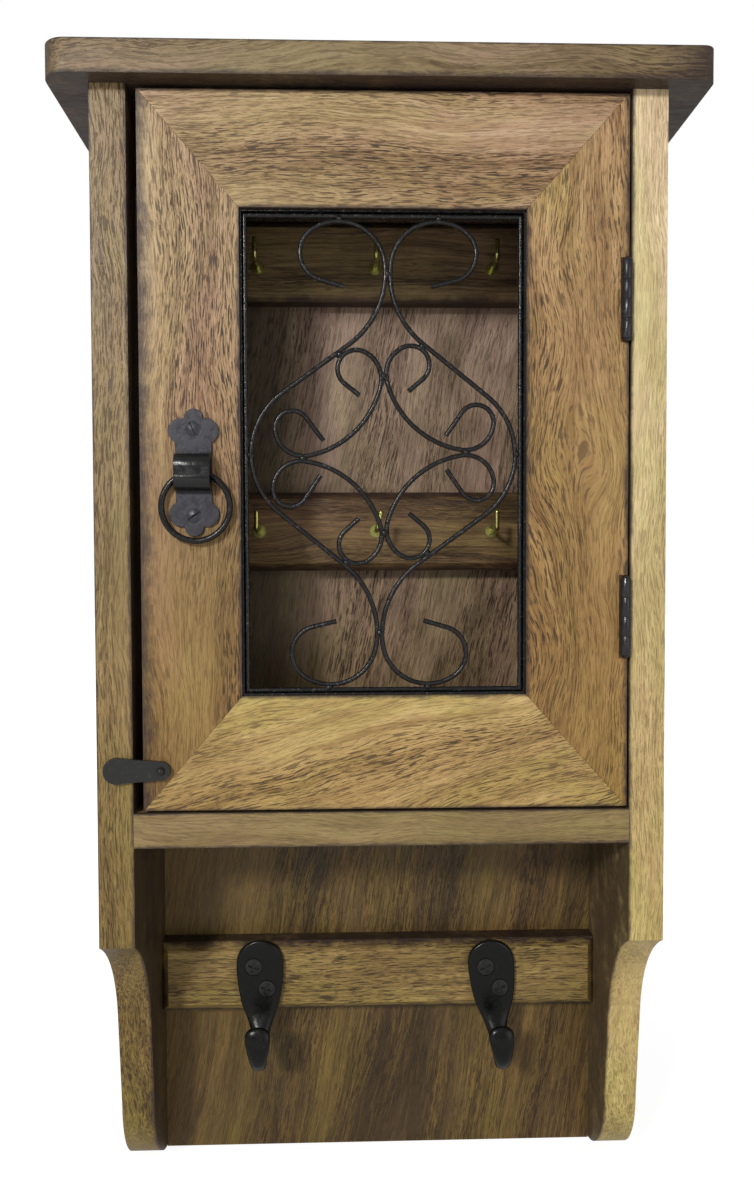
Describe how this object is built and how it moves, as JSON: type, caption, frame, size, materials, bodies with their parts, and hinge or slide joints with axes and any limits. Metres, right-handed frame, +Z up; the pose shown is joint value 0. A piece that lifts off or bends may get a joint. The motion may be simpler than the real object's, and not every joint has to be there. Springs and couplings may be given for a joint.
{
  "type": "key cabinet",
  "caption": "Wall-hung wooden key cabinet with a mitred door, iron scroll grille, ring pull, inner key hooks and coat hooks below a shelf.",
  "frame": {"origin": "midway between the two wall-screw holes, on the wall face of the back panel", "axes": "+X to the right seen from the front, +Y into the wall, +Z up; the front faces -Y"},
  "size_m": [0.32, 0.1025, 0.5827],
  "materials": {
    "wood_top": "waxed mango wood, stained darker",
    "wood_side": "waxed mango wood",
    "wood_back": "waxed mango wood, darker board",
    "wood_shelf": "waxed mango wood",
    "wood_rail": "waxed mango wood",
    "wood_rail_dark": "waxed mango wood, in the shade of the door",
    "wood_coat_rail": "waxed mango wood, pale",
    "wood_door": "waxed mango wood, golden",
    "dowel": "plain beech",
    "brass_hook": "brass-plated, tarnished",
    "black_iron": "black wax over iron, semi-gloss",
    "black_screw": "black, semi-gloss",
    "grille_iron": "black lacquer over wire, specks of rust",
    "hinge_iron": "browned iron",
    "pull_iron": "violet-grey black, satin",
    "catch_plastic": "matt",
    "zinc_steel": "zinc plated"
  },
  "bodies": {
    "cabinet": {"top_board": "wood_top", "side_left": "wood_side", "side_right": "wood_side", "back_panel": "wood_back", "shelf": "wood_shelf", "key_rail_upper": "wood_rail_dark", "key_rail_lower": "wood_rail", "coat_rail": "wood_coat_rail", "top_dowels": "dowel", "shelf_dowels": "dowel", "key_hook_upper_left": "brass_hook", "key_hook_upper_middle": "brass_hook", "key_hook_upper_right": "brass_hook", "key_hook_lower_left": "brass_hook", "key_hook_lower_middle": "brass_hook", "key_hook_lower_right": "brass_hook", "coat_hook_left": "black_iron", "coat_hook_right": "black_iron", "coat_hook_screws": "black_screw", "hinge_upper_carcass_leaf": "hinge_iron", "hinge_upper_pin": "hinge_iron", "hinge_lower_carcass_leaf": "hinge_iron", "hinge_lower_pin": "hinge_iron", "hinge_screws_carcass": "hinge_iron", "catch_body": "catch_plastic", "catch_magnet": "zinc_steel", "catch_screws": "zinc_steel", "rail_screws": "zinc_steel"},
    "door": {"door_stile_left": "wood_door", "door_stile_right": "wood_door", "door_rail_top": "wood_door", "door_rail_bottom": "wood_door", "grille_frame": "grille_iron", "grille_rod": "grille_iron", "scroll_outer_left": "grille_iron", "scroll_outer_right": "grille_iron", "scroll_inner_upper_left": "grille_iron", "scroll_inner_upper_right": "grille_iron", "scroll_inner_lower_left": "grille_iron", "scroll_inner_lower_right": "grille_iron", "grille_welds": "grille_iron", "grille_screws": "grille_iron", "hinge_upper_door_leaf": "hinge_iron", "hinge_lower_door_leaf": "hinge_iron", "hinge_screws_door": "hinge_iron", "pull_plate": "pull_iron", "pull_screws": "pull_iron", "turn_button_screw": "pull_iron", "catch_strike": "zinc_steel", "catch_strike_screws": "zinc_steel"},
    "pull_ring": {"pull_ring": "black_iron"},
    "turn_button": {"turn_button": "pull_iron"}
  },
  "joints": [
    {"name": "door_hinge", "type": "hinge", "parent": "cabinet", "child": "door", "pos_m": [0.11975, -0.0935, -0.15805], "axis": [0, 0, 1], "range_deg": [0, 180]},
    {"name": "ring_swing", "type": "hinge", "parent": "door", "child": "pull_ring", "pos_m": [-0.0903, -0.0954, -0.1647], "axis": [-1, 0, 0], "range_deg": [0, 170]},
    {"name": "button_turn", "type": "hinge", "parent": "door", "child": "turn_button", "pos_m": [-0.1085, -0.09365, -0.3097], "axis": [0, -1, 0], "continuous": true}
  ]
}
